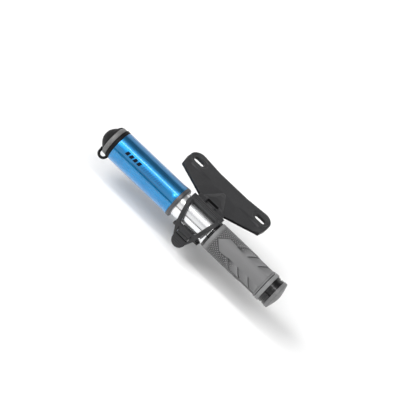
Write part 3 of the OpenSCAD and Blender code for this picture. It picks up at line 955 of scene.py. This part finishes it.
def grip():
    """Rubber grip: raised arrow panels with slanted scales, and a field of dots between them."""
    start = first("grip")
    end = last("grip")
    top_r = radius("grip")
    s = np.linspace(0, end - start, GRIP_ROWS)[:, None]
    turn = np.arange(GRIP_COLUMNS)[None, :] * 360 / GRIP_COLUMNS
    half_turn = 180 / PANELS
    from_panel = (turn - PANEL_TURN + half_turn) % (2 * half_turn) - half_turn
    d = np.abs(np.radians(from_panel) * top_r)
    panel = arrow_panel(s, d)
    dots = raised_dots(s, d) * (1 - panel)
    height = RELIEF * (panel - 1 + dots) + slanted_scales(s, d)
    height = np.maximum(plain_ends(height, s, (end - start) - s), -0.85)

    # the last two rows are the bore, from the rear end back to the front
    stations = [start + float(along) for along in s[:, 0]] + [end, start]
    bore = np.full((2, GRIP_COLUMNS), CORE_UNDER_GRIP_R + FIT)
    radii = np.vstack([top_r + height, bore])
    vertices = []
    for station, row in zip(stations, radii):
        vertices.extend(place(station, float(r), float(a)) for r, a in zip(row, turn[0]))
    faces = quads(numbered(len(stations), GRIP_COLUMNS), around=True, closed=True)
    made = new_piece("grip_rubber", vertices, faces, 50)
    relief_light_levels = np.zeros(radii.shape, np.float32)
    # these levels drive painted shade in the grip's recesses and a painted highlight on its raised
    # tops; the dots are lifted further, so their painted highlight is stronger
    relief_light_levels[:GRIP_ROWS] = height + 0.4 * dots
    made.data.attributes.new("relief", "FLOAT", "POINT").data.foreach_set("value", relief_light_levels.ravel())
    settle(made, "barrel", "grip_rubber", "grip")


# ---------------------------------------------------------------- bracket and strap

def relief(x, y):
    """Height of the raised facet on the plate, 0 to 1, at a point in millimetres: a low pyramid
    with its peak behind the notch and its base along the flat edge."""
    facet_back = -9.0
    facet_front = -25.2
    depth = (facet_back - y) / (facet_back - facet_front)
    half = 1.2 + 8.3 * depth
    side = max(0.0, 1 - abs(x) / max(half, 0.1))
    front = max(0.0, (y - facet_front) / 7.0)
    back = max(0.0, depth * 2.2 + 0.25)
    return max(0.0, min(1.0, side * 1.6, front + 0.15, back))


def crease_drop(x, y):
    """How far the plate's top falls below its highest plane: two planes on each side, which meet
    along slanted creases."""
    side = abs(x)
    outer = max(0.0, 0.16 * (side - 14) + 0.10 * (-8 - y))
    inner = max(0.0, 0.20 * (-7.5 - y) - 0.055 * side)
    edge = min(1.0, max(0.0, (-y - 7.0) / 2.0)) * min(1.0, max(0.0, (39 - side) / 5))
    return min(1.5, max(outer * 0.45, inner * 0.5)) * edge


def bracket():
    """The bracket in one moulding, with a faceted top on its plate."""
    piece = node_copy("bracket_moulding", "mount_bracket")
    mould(piece, 0.34, 3)
    skin = 1.2        # depth under the plate's top that moves with it
    for v in piece.data.vertices:
        x = v.co.x / MM
        y = v.co.y / MM
        z = v.co.z / MM
        above = z - PLATE_THICK
        in_notch = abs(x) < 6 and y < -24.6
        if above > 0.12:
            z = PLATE_THICK + above * (0.1 + 0.9 * relief(x, y))
        elif above > -skin and y > -26.1 and not in_notch:
            share = min(1.0, above + skin)
            z -= crease_drop(x, y) * 0.75 * share
        v.co.z = z * MM
    piece.data.update()
    settle(piece, "bracket", "moulded_plastic", "mount_bracket")


def add_block(piece, x_range, outline):
    """Adds a bar along the pump to a piece; its outline is in y and z from the pump's axis."""
    bm = bmesh.new()
    bm.from_mesh(piece.data)
    ends = [[bm.verts.new(across(x, y, z)) for y, z in outline] for x in x_range]
    count = len(outline)
    for k in range(count):
        n = (k + 1) % count
        bm.faces.new([ends[0][k], ends[0][n], ends[1][n], ends[1][k]])
    bm.faces.new(list(reversed(ends[0])))
    bm.faces.new(ends[1])
    bmesh.ops.recalc_face_normals(bm, faces=bm.faces)
    bm.to_mesh(piece.data)
    bm.free()


def strap():
    """The strap and its root in one moulding, with a lip that hangs over the hook."""
    piece = node_copy("strap_moulding", "strap", "strap_root")
    # lip that hangs from the crossbar over the top of the hook
    lip_half = 5.6
    add_block(piece, (-lip_half, lip_half), [
        (-12.3, -3.3), (-13.3, -3.3), (-14.4, -4.8), (-14.6, -7.2), (-13.4, -7.2), (-13.0, -5.6),
        (-12.3, -4.6)])
    mould(piece, 0.25, 3)
    paint(piece, "strap_rubber")
    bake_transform(piece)
    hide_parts("strap", "strap_root")


# CAD nodes that are shown as they are, with the material of each
INTERNALS = {
    "barrel_guide_ring": "bearing_plastic",
    "end_plug": "machined_aluminium",
    "end_plug_seal": "seal_rubber",
    "collar_wiper": "seal_rubber",
    "sleeve_plug": "housing_plastic",
    "rod_seal": "seal_rubber",
    "piston_rod": "machined_aluminium",
    "piston": "bearing_plastic",
    "piston_seal": "seal_rubber",
    "check_valve": "valve_rubber",
    "hose_crimp": "brass_fitting",
    "hose_ferrule": "brass_fitting",
    "ferrule_seal": "seal_rubber",
    "head_gasket": "seal_rubber",
}


def internals():
    for node, slot in INTERNALS.items():
        paint(frame["nodes"][node], slot)


# ---------------------------------------------------------------- studio

def view_axes():
    """The picture's right and up, and the way back to the camera."""
    a = math.radians(VIEW_AZIMUTH)
    e = math.radians(VIEW_ELEVATION)
    roll = math.radians(VIEW_ROLL)
    right = Vector((math.cos(a), math.sin(a), 0))
    up = Vector((-math.sin(a) * math.sin(e), math.cos(a) * math.sin(e), math.cos(e)))
    back = right.cross(up)
    return (right * math.cos(roll) + up * math.sin(roll),
            up * math.cos(roll) - right * math.sin(roll), back)


def camera():
    """A long lens that looks at the pump from the photo's side."""
    right, up, back = view_axes()
    data = bpy.data.cameras.new("camera")
    made = bpy.data.objects.new("camera", data)
    bpy.context.scene.collection.objects.link(made)
    target = place(VIEW_STATION, 0, 0) + right * VIEW_OFFSET[0] * MM + up * VIEW_OFFSET[1] * MM
    made.matrix_world = Matrix((
        (right.x, up.x, back.x, target.x + back.x * VIEW_DISTANCE_M),
        (right.y, up.y, back.y, target.y + back.y * VIEW_DISTANCE_M),
        (right.z, up.z, back.z, target.z + back.z * VIEW_DISTANCE_M),
        (0, 0, 0, 1)))
    data.sensor_fit = "HORIZONTAL"
    data.angle = 2 * math.atan(VIEW_WIDTH_M / 2 / VIEW_DISTANCE_M)
    data.clip_start = 0.01
    data.clip_end = 20
    bpy.context.scene.camera = made


def world():
    """Studio of long soft boxes parallel to the pump, by angle from -Y towards +Z."""
    made = bpy.data.worlds.new("studio")
    bpy.context.scene.world = made
    made.use_nodes = True
    tree = made.node_tree
    tree.nodes.clear()
    where = add(tree, "ShaderNodeTexCoord").outputs["Generated"]
    part = add(tree, "ShaderNodeSeparateXYZ", {0: where})
    forward = calc(tree, "MULTIPLY", part.outputs[1], -1.0)
    angle = calc(tree, "DEGREES", calc(tree, "ARCTAN2", part.outputs[2], forward))
    position = calc(tree, "DIVIDE", calc(tree, "ADD", angle, 180.0), 360.0)
    ramp = add(tree, "ShaderNodeValToRGB", {0: position})
    ramp.color_ramp.interpolation = "LINEAR"
    elements = ramp.color_ramp.elements
    # the ramp holds each level as a share of the strongest; its first element starts at 0
    elements.remove(elements[-1])
    peak = max(level for _, level in STUDIO_LEVELS)
    for i, (degrees, level) in enumerate(STUDIO_LEVELS):
        item = elements[0] if i == 0 else elements.new((degrees + 180) / 360)
        share = level / peak
        item.color = (share, share, share, 1)
    back = add(tree, "ShaderNodeBackground", {0: ramp.outputs[0], 1: peak})
    out = add(tree, "ShaderNodeOutputWorld")
    tree.links.new(back.outputs[0], out.inputs[0])


def area_light(name, position_m, target_m, size_m, power):
    """A rectangular light that points at the target."""
    data = bpy.data.lights.new(name, "AREA")
    data.shape = "RECTANGLE"
    data.size = size_m[0]
    data.size_y = size_m[1]
    data.energy = power
    made = bpy.data.objects.new(name, data)
    bpy.context.scene.collection.objects.link(made)
    made.location = position_m
    direction = Vector(target_m) - Vector(position_m)
    made.rotation_euler = direction.to_track_quat("-Z", "Y").to_euler()


def open_cap_low_m():
    """The lowest height that the dust cap reaches when it swings out half a turn on its leash."""
    hinge_r = LEASH_OUT + LEASH_LOOP_R
    clear = 1.5
    drop = 2 * hinge_r * math.sin(math.radians(-LEASH_ANGLE)) + radius("dust_cap") + clear
    return AXIS_Z - drop * MM


def floor(level_m):
    """Pale matt floor under everything."""
    half_m = 3.0
    corners = [(-half_m, -half_m, level_m), (half_m, -half_m, level_m),
               (half_m, half_m, level_m), (-half_m, half_m, level_m)]
    made = new_piece("floor", corners, [[0, 1, 2, 3]])
    material, tree, shader = base_material("pale_floor")
    shader.inputs["Base Color"].default_value = rgb(0.93, 0.93, 0.93)
    shader.inputs["Roughness"].default_value = 0.9
    shader.inputs["Specular IOR Level"].default_value = 0.1
    made.data.materials.append(material)


# ---------------------------------------------------------------- build

barrel()
grip_core()
grip_rings()
grip()
end_cap()
bumper()
sleeve()
sleeve_collar()
head_collar()
press_stud()
ring()
dust_cap()
dust_cap_tab()
leash()
lock_knob()
pump_head()
hose()
bracket()
strap()
internals()

camera()
world()
floor(open_cap_low_m())
area_light("key", (-0.9, -0.6, 1.1), (0, -0.03, 0), (0.9, 0.6), 13.0)
bpy.context.scene.view_settings.view_transform = "Standard"
